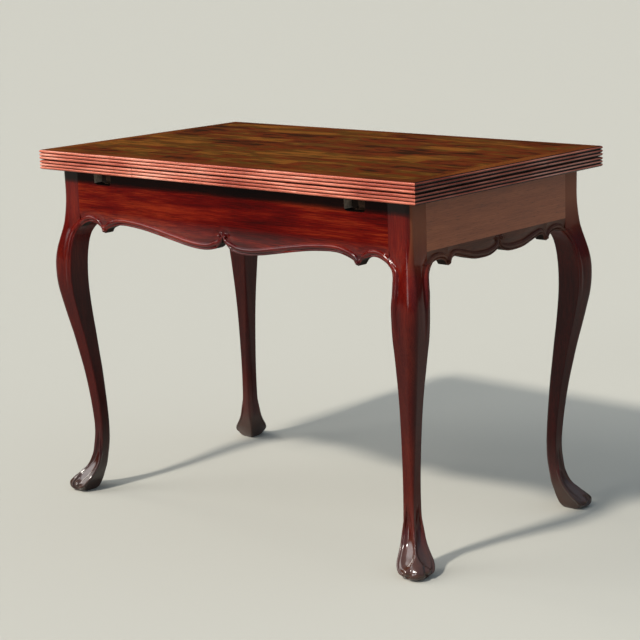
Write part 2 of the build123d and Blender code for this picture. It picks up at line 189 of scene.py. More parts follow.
def sections_at(heights):
    """The leg's section at each height, smooth between the given ones."""
    given = leg_sections[:, 0]
    index = np.clip(np.searchsorted(given, heights, side="right") - 1, 0, len(given) - 2)
    span = given[index + 1] - given[index]
    t = (heights - given[index]) / span
    found = []
    for column in range(1, leg_sections.shape[1]):
        value = leg_sections[:, column]
        slope = np.gradient(value, given)
        found.append(
            (2 * t ** 3 - 3 * t ** 2 + 1) * value[index] + (t ** 3 - 2 * t ** 2 + t) * span * slope[index]
            + (3 * t ** 2 - 2 * t ** 3) * value[index + 1] + (t ** 3 - t ** 2) * span * slope[index + 1])
    return np.array(found).T


def rounded_ring(corners, radii, count):
    """Points and outward directions round a four-sided outline with rounded corners."""
    arc = count // 4
    straight_count = count - 2 * arc
    points, outwards = [], []
    for k in range(4):
        for index, leaving in ((k, True), ((k + 1) % 4, False)):
            corner = corners[index]
            before = corners[(index - 1) % 4] - corner
            beyond = corners[(index + 1) % 4] - corner
            before, beyond = before / np.linalg.norm(before), beyond / np.linalg.norm(beyond)
            half = math.acos(np.clip(before @ beyond, -1, 1)) / 2
            middle = (before + beyond) / np.linalg.norm(before + beyond)
            centre = corner + middle * radii[index] / math.sin(half)
            turn = math.pi / 2 - half
            side = np.array([-middle[1], middle[0]])
            toward = beyond if leaving else before
            if side @ toward < 0:
                side = -side
            for step in range(arc) if leaving else range(arc, 0, -1):
                angle = turn * step / arc
                outward = -middle * math.cos(angle) + side * math.sin(angle)
                points.append(centre + outward * radii[index])
                outwards.append(outward)
            end_outward = -middle * math.cos(turn) + side * math.sin(turn)
            end = centre + radii[index] * end_outward
            if leaving:
                start, start_outward, start_place = end, end_outward, len(points)
            else:
                straight = [start + (end - start) * s / straight_count for s in range(straight_count)]
                points[start_place:start_place] = straight
                outwards[start_place:start_place] = [start_outward] * straight_count
    return np.array(points), np.array(outwards)


def bead_band(from_edge, from_roll, roll_width, fade):
    """Relief of the carved edge: a thin bead, a wide roll and the hollow above them."""
    thin = bead_height * bump_at(from_edge - bead_from_edge, bead_half_width)
    roll = roll_share * roll_width * bump_at(from_roll, roll_width)
    hollow = -hollow_depth * np.exp(-(np.maximum(from_edge - hollow_from_edge, 0) / hollow_run) ** 2)
    return fade * (hollow + np.maximum(thin, roll))


def foot_relief(along, inside, z):
    """Relief of an outer face of the foot: a flute beside a bead, curling round an eye."""
    from_flute, flute_width = distance_from_line(line_through(foot_flute, edge_step), inside, z)
    from_curl, curl_width = distance_from_line(np.array(foot_curl), inside, z)
    from_bead, bead_width = distance_from_line(line_through(foot_bead, edge_step), inside, z)
    from_eye = np.hypot(inside - foot_eye[0], z - foot_eye[1])
    fade = 1 - step_between(*foot_fade, z)
    flute = -flute_depth * np.clip(1 - (from_flute / flute_width) ** 4, 0, None) ** 1.5
    relief = np.minimum(flute * fade, -curl_depth * soft_bump(from_curl, curl_width))
    bead = foot_bead_height * fade * np.clip(1 - (from_bead / bead_width) ** 2, 0, None)
    relief = np.where(bead > 0, np.maximum(relief, bead), relief)
    dome = eye_rise * bump_at(from_eye, foot_eye_radius) - curl_depth
    relief = np.where(from_eye < foot_eye_radius, np.maximum(relief, dome), relief)
    ridge = ridge_height * soft_bump(along, ridge_half_width) * fade * step_between(*ridge_rise, z)
    toe = toe_height * soft_bump(np.hypot(along, (z - toe_level) / toe_stretch), toe_radius)
    return relief + ridge + toe


# The rings of vertices, closer where the leg is carved.
heights = np.concatenate([
    np.arange(0, 1.6, 0.4), np.arange(1.6, 60, 0.9), np.arange(60, 150, 2.0), np.arange(150, 440, 6.0),
    np.arange(440, 595, 2.5), [595.0, 596.0, 596.02], np.arange(598, 640, 3.0), np.arange(640, 718, 9.0),
    [718.0]])
sections = sections_at(heights)
# Above the strips' underside the leg is a square block.
block = 50.0
sections[heights > strip_bottom, 3] = block
lateral_place = {"front": frame_x - sections[:, 2], "side": frame_y - sections[:, 3]}

# The lines that the carving follows, as place along the board, height and
# half the width of the roll. The roll starts in an eye beside the middle,
# follows the edge, and ends in the scroll; another starts there for the leg.
block_x = frame_x - block
block_y = frame_y - block
board_shapes = {
    "front": dict(
        span=block_x, top=frame_top, scroll=353.0, follow=(34, 312),
        edge=((0, 611), (4, 601), (9, 596.1), (21.9, 586.6), (45.1, 581.8), (72.2, 581.4),
              (103.1, 584.4), (143, 591), (189.8, 599.1), (234.9, 605.8), (274.9, 609.2), (295, 609.6),
              (308, 608.6), (322, 605.6), (335, 601.6), (343, 598), (346.6, 594), (349.4, 590),
              (353.2, 588.6), (357, 590.2), (360, 594.4), (364, 599.5), (370, 603.6), (378, 606.8),
              (387, 609), (396, 609.8), (405, 608.6), (414, 605.4), (422, 601), (429.5, 596)),
        start=((8.6, 613.0, 2.2), (11.6, 615.0, 2.4), (9.6, 618.4, 2.7), (5.0, 618.2, 3.0),
               (3.2, 613.0, 3.2), (5.4, 606.0, 3.7), (11.6, 600.6, 4.5), (20.5, 597.4, 5.0)),
        end=((322, 614.4, 5.0), (334, 610.6, 4.9), (343, 606.6, 4.7), (350, 601.6, 4.3),
             (353.4, 596.2, 3.9), (353.6, 593.0, 3.7)),
        eyes=((8.2, 614.0, 3.2), (353.4, 594.0, 3.6)),
        arch_roll=((357.5, 594.6, 1.4), (360.5, 601.0, 2.4), (366, 607.6, 3.4), (374, 613, 4.3),
                   (384, 617, 4.9), (395, 618.6, 5.1), (405, 617.4, 5.1), (415.4, 613.6, 5.1),
                   (425, 607.6, 5.1), (433.5, 600.6, 5.1))),
    "side": dict(
        span=block_y, top=620.0, scroll=157.5, follow=(34, 118),
        edge=((0, 598), (3, 593.5), (10, 589), (28, 583.6), (52, 582.4), (80, 584.4), (105, 590.6),
              (122, 595.6), (136, 598.6), (143.5, 598), (147.6, 594.6), (149.6, 589.5), (153, 585.8),
              (158, 584.6), (163, 586), (166.4, 590), (170.5, 595), (177.6, 598.4), (190, 599.8),
              (199, 598.6), (205, 596.6), (208, 596.03), (223.5, 596.03)),
        start=((8.6, 611.4, 1.9), (11.0, 613.2, 2.1), (9.0, 616.0, 2.4), (5.0, 615.6, 2.7),
               (3.4, 611.0, 2.9), (4.8, 604.0, 3.4), (10.0, 598.6, 4.0), (20.0, 594.6, 4.5)),
        end=((122, 604.2, 4.6), (134, 607.2, 4.5), (143, 606.4, 4.3), (149, 602.4, 4.0),
             (153, 597.2, 3.8), (156, 592.4, 3.7), (158, 590.0, 3.7)),
        eyes=((8.4, 612.2, 2.8), (158.0, 590.4, 3.6)),
        arch_roll=((160.5, 594, 1.4), (164, 599.2, 2.4), (170, 604, 3.6), (179, 607.6, 4.4),
                   (190, 608.6, 4.7), (200, 607.6, 4.7), (208, 604.4, 4.7), (215, 599.6, 4.7))),
}


def carving_lines(shape, lateral):
    """The board's lower edge, and the edge, rolls and eyes that the relief follows."""
    lower = line_through(shape["edge"], edge_step)
    carved = (heights < strip_bottom) & (heights > knee_carving[0])
    leg_edge = np.column_stack([lateral[carved], heights[carved]])[::-2]
    followed_edge = lower[(lower[:, 1] > strip_bottom + passed_by) | (lower[:, 0] < whole_edge)]
    edge = np.vstack([followed_edge[::2], leg_edge])
    first, last = shape["follow"]
    middle = lower[(lower[:, 0] > first) & (lower[:, 0] < last)][::8]
    followed = np.column_stack([set_aside(middle, roll_from_edge), np.full(len(middle), roll_half_width)])
    roll = line_through(np.vstack([np.array(shape["start"]), followed, np.array(shape["end"])]), roll_step)
    below = leg_edge[leg_edge[:, 1] < strip_bottom - 6]
    leg_roll = np.column_stack([set_aside(below, roll_from_edge), np.full(len(below), roll_half_width)])
    arch_roll = line_through(np.vstack([np.array(shape["arch_roll"]), leg_roll[::2]]), roll_step)
    return lower, np.column_stack([edge, np.ones(len(edge))]), [roll, arch_roll], shape["eyes"]


def carved_relief(board_lines, x, z, fade=1.0):
    """Relief of the carved edge at places along a board or a leg's face."""
    edge, rolls, eyes = board_lines[1:]
    from_edge = distance_from_line(edge, x, z)[0]
    from_roll, width = distance_from_line(rolls[0], x, z)
    from_arch, arch_width = distance_from_line(rolls[1], x, z)
    closer = from_arch / arch_width < from_roll / width
    from_roll, width = np.where(closer, from_arch, from_roll), np.where(closer, arch_width, width)
    relief = bead_band(from_edge, from_roll, width, fade)
    for eye_x, eye_z, eye_radius in eyes:
        from_eye = np.hypot(x - eye_x, z - eye_z)
        dome = eye_share * eye_radius * bump_at(from_eye, eye_radius) + eye_base
        relief = np.where(from_eye < eye_radius, np.maximum(relief, fade * dome), relief)
        groove = np.exp(-((from_eye - eye_radius - eye_groove_gap) / eye_groove_width) ** 2)
        relief = relief - eye_groove_depth * fade * groove
    return relief


carving = {name: carving_lines(shape, lateral_place[name]) for name, shape in board_shapes.items()}


def leg_points():
    """The vertices of the front left leg, ring by ring."""
    post = np.array([-frame_x, -frame_y])
    rings, outwards = [], []
    for height, (ridge, back, in_front, in_side, out, ridge_radius, side_radius) in zip(heights, sections):
        ridge = ridge + beyond_round * ridge_radius
        slim = step_between(*ankle_rise, height) * (1 - step_between(*knee_rise, height))
        back = back - slim_back_shift * slim
        places = ((-ridge, -ridge), (in_front, -out), (-back, -back), (-out, in_side))
        rounder = side_radius + slim_side_radius * slim
        radii = [ridge_radius, rounder, back_radius + slim_back_radius * slim, rounder]
        ring, outward = rounded_ring([post + np.array(place) for place in places], radii, points_per_face)
        rings.append(ring)
        outwards.append(outward)
    rings, outwards = np.array(rings), np.array(outwards)
    gaps = np.linalg.norm(np.roll(rings, -1, axis=1) - rings, axis=2)
    along = np.cumsum(gaps, axis=1) - gaps
    position = np.arange(rings.shape[1])
    front_end, opposite, side_start = points_per_face, 2 * points_per_face, 3 * points_per_face
    mirrored = np.where(position <= opposite, along, gaps.sum(axis=1)[:, None] - along)
    relief = np.zeros(mirrored.shape)
    low, high = heights < foot_carving_top, heights > knee_carving[0]
    for on_face, name, axis in ((position <= front_end, "front", 0), (position >= side_start, "side", 1)):
        levels = np.repeat(heights[:, None], np.count_nonzero(on_face), axis=1)
        places = np.abs(rings[:, on_face][:, :, axis])
        inside = (frame_x, frame_y)[axis] - places
        relief[np.ix_(low, on_face)] = foot_relief(mirrored[:, on_face][low], inside[low], levels[low])
        relief[np.ix_(high, on_face)] = carved_relief(
            carving[name], places[high], levels[high], step_between(*knee_carving, levels[high]))
    # Below the block, the relief of an outer face runs out round its corner on the face behind.
    for turn, half in ((front_end, position <= opposite), (side_start, position > opposite)):
        behind = half & (position > front_end) & (position < side_start)
        past = mirrored[:, behind] - mirrored[:, turn][:, None]
        at_corner = relief[:, turn] * (heights < strip_bottom)
        relief[:, behind] = at_corner[:, None] * soft_bump(past, round_the_corner)
    rings = rings + outwards * relief[:, :, None]
    return np.concatenate([rings, np.repeat(heights[:, None, None], rings.shape[1], axis=1)], axis=2)


def sheet_from_grid(name, grid, closed):
    """A mesh whose vertices are rows of points, made from Blender's own grid."""
    rows, columns = grid.shape[:2]
    cells = columns if closed else columns - 1
    deselect_all()
    bpy.ops.mesh.primitive_grid_add(x_subdivisions=cells, y_subdivisions=rows - 1, size=2)
    piece = bpy.context.object
    piece.name = piece.data.name = name
    flat = np.zeros(len(piece.data.vertices) * 3)
    piece.data.vertices.foreach_get("co", flat)
    flat = flat.reshape(-1, 3)
    column = np.rint((flat[:, 0] + 1) / 2 * cells).astype(int) % (columns if closed else columns + 1)
    row = np.rint((flat[:, 1] + 1) / 2 * (rows - 1)).astype(int)
    piece.data.vertices.foreach_set("co", (grid[row, column] * MM).ravel())
    piece.data.update()
    return piece


def close_and_smooth(piece, angle):
    """Merges the seam, closes the open ends, and turns all faces outwards."""
    deselect_all()
    piece.select_set(True)
    bpy.context.view_layer.objects.active = piece
    bpy.ops.object.mode_set(mode="EDIT")
    bpy.ops.mesh.select_all(action="SELECT")
    bpy.ops.mesh.remove_doubles(threshold=1e-6)
    bpy.ops.mesh.select_all(action="DESELECT")
    bpy.ops.mesh.select_mode(type="EDGE")
    bpy.ops.mesh.select_non_manifold()
    bpy.ops.mesh.edge_face_add()
    bpy.ops.mesh.select_all(action="SELECT")
    bpy.ops.mesh.normals_make_consistent(inside=False)
    bpy.ops.object.mode_set(mode="OBJECT")
    bpy.ops.object.shade_smooth_by_angle(angle=math.radians(angle))


def turned_copy(piece, name, matrix):
    """A copy with its own mesh, turned or mirrored to another corner or side."""
    copy = piece.copy()
    copy.data = piece.data.copy()
    copy.name = copy.data.name = name
    bpy.context.collection.objects.link(copy)
    copy.data.transform(matrix)
    if matrix.determinant() < 0:
        copy.data.flip_normals()
    return copy


def new_material(name):
    """A material, its nodes and its shader."""
    material = bpy.data.materials.new(name)
    material.use_nodes = True
    nodes = material.node_tree.nodes
    return material, nodes, nodes["Principled BSDF"]


def set_values(node, values):
    """Sets the values of a node's sockets."""
    for socket, value in values.items():
        node.inputs[socket].default_value = value


def added_node(nodes, kind, values=None, **settings):
    """Adds a node with its own settings and the values of its sockets."""
    node = nodes.new("ShaderNode" + kind)
    for setting, value in settings.items():
        setattr(node, setting, value)
    set_values(node, values or {})
    return node


def join_nodes(nodes, links):
    """Joins the sockets of a material's nodes."""
    for source, out, target, into in links:
        nodes.id_data.links.new(source.outputs[out], target.inputs[into])


def tone_ramp(nodes, stops):
    """Adds a ramp with the given places and colours."""
    node = nodes.new("ShaderNodeValToRGB")
    elements = node.color_ramp.elements
    for element, (place, colour) in ((elements[0], stops[0]), (elements[1], stops[-1])):
        element.position = place
        element.color = (*colour, 1)
    for place, colour in stops[1:-1]:
        elements.new(place).color = (*colour, 1)
    return node


def grain_scale(along, across, lengthwise):
    """The scale of a pattern that is drawn out along the grain."""
    return [lengthwise if axis == along else across for axis in "xyz"]


def stretched_noise(nodes, place, scale, values):
    """A noise with its own scale on each axis."""
    mapping = added_node(nodes, "Mapping", {"Scale": scale})
    pattern = added_node(nodes, "TexNoise", {"Scale": 1.0, **values})
    join_nodes(nodes, [(place, "Object", mapping, "Vector"), (mapping, "Vector", pattern, "Vector")])
    return pattern


def mixed_over(material, mix):
    """Puts a mix between a wood's colour and its shader."""
    nodes = material.node_tree.nodes
    shader = nodes["Principled BSDF"]
    colour = shader.inputs["Base Color"].links[0].from_socket
    nodes.id_data.links.new(colour, mix.inputs["Color1"])
    join_nodes(nodes, [(mix, "Color", shader, "Base Color")])


def polished_wood(name, along, deep, middle, light, coat=0.12, gloss=0.24, figure=1.0, specular=0.04):
    """Lacquered mahogany: broad figure, fine fibres and short dark pores along one axis."""
    material, nodes, shader = new_material(name)
    place = added_node(nodes, "TexCoord")
    broad = stretched_noise(
        nodes, place, grain_scale(along, 55, 3.85), {"Detail": 4.0, "Roughness": 0.55, "Distortion": 0.6})
    fibre = stretched_noise(nodes, place, grain_scale(along, 900, 18), {"Detail": 3.0})
    pore = stretched_noise(nodes, place, grain_scale(along, 1300, 58.5), {"Detail": 1.0})
    cloud = added_node(nodes, "TexNoise", {"Scale": 3.2, "Detail": 3.0})
    tint = added_node(nodes, "Math", {1: 0.55, 2: -0.175 + 0.225 * (1 - figure)}, operation="MULTIPLY_ADD")
    blend = added_node(nodes, "Math", {1: 0.45 * figure}, operation="MULTIPLY_ADD")
    joined = added_node(nodes, "Math", {1: 0.35}, operation="MULTIPLY_ADD")
    colours = tone_ramp(nodes, ((0.38, deep), (0.5, middle), (0.63, light)))
    dark_pore = added_node(nodes, "MapRange", {"From Min": 0.27, "From Max": 0.42, "To Min": 0.35})
    shade = added_node(nodes, "MixRGB", {"Fac": 0.75}, blend_type="MULTIPLY")
    gloss_range = added_node(nodes, "MapRange", {"To Min": gloss, "To Max": gloss + 0.22})
    bump = added_node(nodes, "Bump", {"Strength": 0.12, "Distance": 0.0004})
    join_nodes(nodes, [
        (place, "Object", cloud, "Vector"), (cloud, "Fac", tint, 0), (broad, "Fac", blend, 0),
        (fibre, "Fac", joined, 0), (tint, 0, blend, 2), (blend, 0, joined, 2), (joined, 0, colours, "Fac"),
        (pore, "Fac", dark_pore, "Value"), (colours, "Color", shade, "Color1"),
        (dark_pore, "Result", shade, "Color2"), (shade, "Color", shader, "Base Color"),
        (cloud, "Fac", gloss_range, "Value"), (gloss_range, "Result", shader, "Roughness"),
        (pore, "Fac", bump, "Height"), (bump, "Normal", shader, "Normal"),
    ])
    set_values(shader, {
        "Coat Weight": coat, "Coat Roughness": 0.15, "Coat IOR": 1.5, "Specular IOR Level": specular})
    return material


def tinted_within(material, axis, start, full, tint, blend="MULTIPLY", share=1.0, beyond=None):
    """Mixes a tint into a wood, from none of it at the start to its whole share at full.

    The places are distances from the table's middle, or heights, ragged by a
    noise. With beyond, the tint also comes up between two places of an axis.
    """
    nodes = material.node_tree.nodes
    place = added_node(nodes, "TexCoord")
    ragged = added_node(nodes, "TexNoise", {"Scale": 28.0, "Detail": 3.0})
    split = added_node(nodes, "SeparateXYZ")
    size = added_node(nodes, "Math", operation="ABSOLUTE")
    moved = added_node(nodes, "Math", {1: 0.5 * (full - start)}, operation="MULTIPLY_ADD")
    shift = 0.25 * (full - start)
    amount = added_node(
        nodes, "MapRange", {"From Min": start + shift, "From Max": full + shift, "To Max": share},
        interpolation_type="SMOOTHSTEP")
    mix = added_node(nodes, "MixRGB", {"Color2": (*tint, 1)}, blend_type=blend)
    join_nodes(nodes, [
        (place, "Object", split, 0), (split, axis, size, 0), (place, "Object", ragged, "Vector"),
        (ragged, "Fac", moved, 0), (size, 0, moved, 2), (moved, 0, amount, "Value")])
    if beyond:
        other_axis, other_start, other_full = beyond
        above = added_node(nodes, "MapRange", {"From Min": other_start, "From Max": other_full})
        both = added_node(nodes, "Math", operation="MULTIPLY")
        join_nodes(nodes, [
            (split, other_axis, above, "Value"), (amount, "Result", both, 0), (above, "Result", both, 1),
            (both, 0, mix, "Fac")])
    else:
        join_nodes(nodes, [(amount, "Result", mix, "Fac")])
    mixed_over(material, mix)


def coated_along(material, axis, low, high, at_low, at_high):
    """The lacquer's coat goes from one weight to another along an axis."""
    nodes = material.node_tree.nodes
    place = added_node(nodes, "TexCoord")
    split = added_node(nodes, "SeparateXYZ")
    weight = added_node(
        nodes, "MapRange", {"From Min": low, "From Max": high, "To Min": at_low, "To Max": at_high})
    join_nodes(nodes, [
        (place, "Object", split, 0), (split, axis, weight, "Value"),
        (weight, "Result", nodes["Principled BSDF"], "Coat Weight")])


mahogany_upright = polished_wood(
    "mahogany_upright", "z", (0.052, 0.001, 0.001), (0.098, 0.003, 0.0015), (0.165, 0.012, 0.004),
    figure=0.7)
# Darker below the block, dirty but glossy at the foot, painted shade under the top's
# overhang, and the short board's lighter brown, a painted sheen, on the outer face beside it.
tinted_within(mahogany_upright, "Z", 0.62, 0.44, (0.50, 0.60, 0.70))
tinted_within(mahogany_upright, "Z", 0.090, 0.030, (0.050, 0.032, 0.020), "MIX", 0.55)
coated_along(mahogany_upright, "Z", 0.05, 0.16, 1.0, 0.32)
# Painted shade: the band under the top's overhang is darkened.
tinted_within(mahogany_upright, "Z", 0.688, 0.700, (0.10, 0.16, 0.22))
# Painted sheen: the block's outer face beside the short board takes the short board's lighter brown.
tinted_within(mahogany_upright, "X", 0.4765, 0.4785, (0.260, 0.072, 0.027), "MIX", 0.85, ("Z", 0.58, 0.66))
leg = sheet_from_grid("leg_front_left_carved", leg_points(), True)
close_and_smooth(leg, leg_angle)
leg.data.materials.append(mahogany_upright)
legs = {"front_left": leg}
for corner, scales in (("front_right", (-1, 1)), ("back_left", (1, -1)), ("back_right", (-1, -1))):
    legs[corner] = turned_copy(leg, "leg_%s_carved" % corner, Matrix.Diagonal((*scales, 1, 1)))
for corner, piece in legs.items():
    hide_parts("leg_" + corner)
    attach(piece, "frame")

# Two long frame boards, front and back, sawn to a wavy lower edge and carved
# with a roll and a thin bead that end in scrolls. Two openings are cut in the
# top edge of each for the bearers of the leaf, and their wood was left raw.
board_thickness = 22.0
# Faces further in than this are the plain inner ones.
carving_reach = 3.5
near_eye = 24.0
board_angle = 40
notch_width = 52.0
notch_depth = 27.0
notch_radius = 8.0
notch_places = (-350.0, 350.0)


def column_places(span, scroll, fine, coarse):
    """Places along half a board, close together at the eyes and the scroll."""
    places = [0.0]
    while places[-1] < span - fine:
        near = abs(places[-1] - scroll) < near_eye or places[-1] < near_eye
        places.append(places[-1] + (fine if near else coarse))
    places[-1] = span
    return np.concatenate([-np.array(places[:0:-1]), places])


def carved_board(name, shape, board_lines, fine, coarse, row_shares):
    """A frame board along X, its face at Y = 0 and its lower edge carved."""
    across = column_places(shape["span"], shape["scroll"], fine, coarse)
    lower = board_lines[0]
    order = np.argsort(lower[:, 0])
    bottom = np.interp(np.abs(across), lower[order, 0], lower[order, 1])
    x = np.repeat(across[None, :], len(row_shares), axis=0)
    z = bottom[None, :] + (shape["top"] - bottom)[None, :] * np.array(row_shares)[:, None]
    relief = carved_relief(board_lines, np.abs(x).ravel(), z.ravel()).reshape(x.shape)
    piece = sheet_from_grid(name, np.stack([x, -relief, z], axis=-1), False)
    bpy.ops.object.mode_set(mode="EDIT")
    bpy.ops.mesh.select_all(action="DESELECT")
    bpy.ops.mesh.select_mode(type="EDGE")
    bpy.ops.mesh.select_non_manifold()
    bpy.ops.mesh.extrude_edges_move(TRANSFORM_OT_translate={"value": (0, board_thickness * MM, 0)})
    bpy.ops.transform.resize(value=(1, 0, 1), center_override=(0, board_thickness * MM, 0))
    bpy.ops.mesh.edge_face_add()
    bpy.ops.mesh.select_all(action="SELECT")
    bpy.ops.mesh.normals_make_consistent(inside=False)
    bpy.ops.object.mode_set(mode="OBJECT")
    bpy.ops.object.shade_smooth_by_angle(angle=math.radians(board_angle))
    return piece


def raw_wood(name, deep, light, grain="y"):
    """Plain wood without lacquer, dry, with dust in its grain."""
    material, nodes, shader = new_material(name)
    place = added_node(nodes, "TexCoord")
    fibre = stretched_noise(nodes, place, grain_scale(grain, 160, 4), {"Detail": 5.0})
    stain = added_node(nodes, "TexNoise", {"Scale": 9.0, "Detail": 4.0})
    both = added_node(nodes, "Math", operation="ADD")
    halved = added_node(nodes, "Math", {1: 0.5}, operation="MULTIPLY")
    colours = tone_ramp(nodes, ((0.36, deep), (0.62, light)))
    rough = added_node(nodes, "MapRange", {"To Min": 0.62, "To Max": 0.88})
    bump = added_node(nodes, "Bump", {"Strength": 0.5, "Distance": 0.0004})
    join_nodes(nodes, [
        (place, "Object", stain, "Vector"), (fibre, "Fac", both, 0), (stain, "Fac", both, 1),
        (both, 0, halved, 0), (halved, 0, colours, "Fac"), (colours, "Color", shader, "Base Color"),
        (fibre, "Fac", rough, "Value"), (rough, "Result", shader, "Roughness"),
        (fibre, "Fac", bump, "Height"), (bump, "Normal", shader, "Normal"),
    ])
    set_values(shader, {"Specular IOR Level": 0.15})
    return material


# Lighter towards the ends, with painted shade in the band under the top's overhang, and glossy on the
# carved edge.
mahogany_long = polished_wood(
    "mahogany_long", "x", (0.026, 0.0002, 0.0002), (0.076, 0.0006, 0.0003), (0.165, 0.007, 0.002))
tinted_within(mahogany_long, "X", -0.15, 0.45, (1.35, 3.4, 2.8))
# Painted shade: the band under the top's overhang is darkened.
tinted_within(mahogany_long, "Z", 0.688, 0.700, (0.08, 0.14, 0.20))
coated_along(mahogany_long, "Z", 0.612, 0.636, 0.7, 0.03)
notch_wood = raw_wood("notch_wood", (0.34, 0.26, 0.18), (0.78, 0.66, 0.50), "x")
# Painted shade: plain wood in near black, for the shade inside the frame.
inner_painted_shade = raw_wood("inner_painted_shade", (0.006, 0.004, 0.003), (0.024, 0.013, 0.008), "x")
# The rows of vertices, as shares of the board's height, are closer where it is carved.
long_rows = np.concatenate([np.linspace(0, 0.36, 52)[:-1], np.linspace(0.36, 1, 15)])
board = carved_board("apron_front_carved", board_shapes["front"], carving["front"], 0.8, 2.0, long_rows)
board.data.materials.append(mahogany_long)
board.data.transform(Matrix.Translation((0, -frame_y * MM, 0)))
for place in notch_places:
    deselect_all()
    bpy.ops.mesh.primitive_cube_add(size=1, location=(place * MM, -frame_y * MM, frame_top * MM))
    cutter = bpy.context.object
    cutter.scale = (notch_width * MM, 4 * board_thickness * MM, 2 * notch_depth * MM)
    bpy.ops.object.transform_apply(location=True, rotation=True, scale=True)
    bpy.ops.object.mode_set(mode="EDIT")
    bpy.ops.mesh.select_mode(type="EDGE")
    bpy.ops.object.mode_set(mode="OBJECT")
    for edge in cutter.data.edges:
        ends = [cutter.data.vertices[i].co for i in edge.vertices]
        edge.select = abs(ends[0].y - ends[1].y) > 0.01
    bpy.ops.object.mode_set(mode="EDIT")
    bpy.ops.mesh.bevel(offset=notch_radius * MM, segments=8, affect="EDGES")
    bpy.ops.object.mode_set(mode="OBJECT")
    cutter.data.materials.append(notch_wood)
    deselect_all()
    board.select_set(True)
    bpy.context.view_layer.objects.active = board
    cut = board.modifiers.new("notch", "BOOLEAN")
    cut.operation = "DIFFERENCE"
    cut.object = cutter
    cut.solver = "EXACT"
    cut.material_mode = "TRANSFER"
    bpy.ops.object.modifier_apply(modifier=cut.name)
    bpy.data.objects.remove(cutter)
bpy.ops.object.shade_smooth_by_angle(angle=math.radians(board_angle))
board.data.materials.append(inner_painted_shade)
# Painted shade: the floors of the notches and all the inner faces take the near-black inner wood, for the
# shade inside the frame.
for face in board.data.polygons:
    if board.data.materials[face.material_index] == notch_wood:
        dark = face.normal.z > 0.5
    else:
        dark = face.center.y > (carving_reach - frame_y) * MM
    if dark:
        face.material_index = len(board.data.materials) - 1
back_board = turned_copy(board, "apron_back_carved", Matrix.Rotation(math.pi, 4, "Z"))
for piece, node in ((board, "apron_front"), (back_board, "apron_back")):
    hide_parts(node)
    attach(piece, "frame")

# The two short sides: a plain board with a carved strip glued under it, and
# the glue line shows. The strip has the same roll, eyes and scrolls as the
# long boards, a little flatter.
# Painted sheen: the short boards are a lighter brown than the long boards' red, standing in for the light
# their faces reflect.
mahogany_short_painted_sheen = polished_wood(
    "mahogany_short_painted_sheen", "y", (0.235, 0.056, 0.017), (0.330, 0.084, 0.026), (0.430, 0.125, 0.042),
    coat=0.3, gloss=0.3, figure=0.6, specular=0.24)
# Painted shade: the inner face of the board is darkened, for the shade inside the frame.
tinted_within(mahogany_short_painted_sheen, "X", 0.466, 0.464, (0.12, 0.16, 0.20))
mahogany_strip = polished_wood(
    "mahogany_strip", "y", (0.055, 0.013, 0.006), (0.095, 0.026, 0.012), (0.165, 0.046, 0.020),
    coat=0.2, figure=0.7, specular=0.10)


def finished_in(node, material):
    """Gives a piece of the CAD its own finish."""
    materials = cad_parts[node].data.materials
    materials.clear()
    materials.append(material)


short_rows = np.linspace(0, 1, 42)
strip = carved_board("carved_strip", board_shapes["side"], carving["side"], 0.8, 1.8, short_rows)
strip.data.materials.append(mahogany_strip)
strip.data.materials.append(inner_painted_shade)
# Painted shade: the strip's inner faces take the near-black inner wood.
for face in strip.data.polygons:
    face.material_index = 1 if face.center.y > carving_reach * MM else 0
for name, side in (("left", -1), ("right", 1)):
    turn = Matrix.Rotation(side * math.pi / 2, 4, "Z") @ Matrix.Translation((0, -frame_x * MM, 0))
    piece = turned_copy(strip, "carved_strip_%s_carved" % name, turn)
    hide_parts("carved_strip_" + name)
    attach(piece, "frame")
    finished_in("apron_" + name, mahogany_short_painted_sheen)
bpy.data.objects.remove(strip)

# Every edge of the top, the leaves and the centre board is a mahogany strip
# with three half-round reeds, stuck with a moulding plane and mitred at the
# corners. The front edge of each leaf is pieced from three lengths.
half_length = 517.5
half_depth = 301.5
strip_width = 30.0
reed_count = 3
reed_depth = 3.2
reed_land = 0.8
reed_segments = 10
reed_wear = 0.16
reed_angle = 34
strip_step = 16.0


def reeded_strip(name, length, thickness, left_mitre, right_mitre, seed):
    """A reeded edge along X, its reeds at Y = 0, its lower face at Z = 0."""
    pitch = thickness / reed_count
    chord = (pitch - reed_land) / 2
    radius = (chord ** 2 + reed_depth ** 2) / (2 * reed_depth)
    spread = math.asin(chord / radius) if radius > reed_depth else math.pi - math.asin(chord / radius)
    outline = []
    for index in range(reed_count):
        middle = (index + 0.5) * pitch
        for step in range(reed_segments + 1):
            angle = -spread + 2 * spread * step / reed_segments
            outline.append((radius - radius * math.cos(angle), middle + radius * math.sin(angle)))
    outline += [(reed_depth, thickness), (strip_width, thickness), (strip_width, 0), (reed_depth, 0)]
    outline = np.array(outline)
    stations = np.linspace(-length / 2, length / 2, max(2, int(length / strip_step) + 1))
    grid = []
    for x in stations:
        row = []
        for y, z in outline:
            worn = 0
            if y < reed_depth - 0.2:
                worn = reed_wear * abs(noise.noise(Vector((x * 0.03 + seed, y * 0.2, z * 0.9))))
            row.append((x, y + worn, z))
        grid.append(row)
    piece = sheet_from_grid(name, np.array(grid), True)
    close_and_smooth(piece, reed_angle)
    for mitred, side in ((left_mitre, -1), (right_mitre, 1)):
        if mitred:
            bpy.ops.object.mode_set(mode="EDIT")
            bpy.ops.mesh.select_all(action="SELECT")
            bpy.ops.mesh.bisect(
                plane_co=(side * length / 2 * MM, 0, 0), plane_no=(side * 1.0, 1.0, 0), use_fill=True,
                clear_outer=True)
            bpy.ops.object.mode_set(mode="OBJECT")
    bpy.ops.object.shade_smooth_by_angle(angle=math.radians(reed_angle))
    return piece


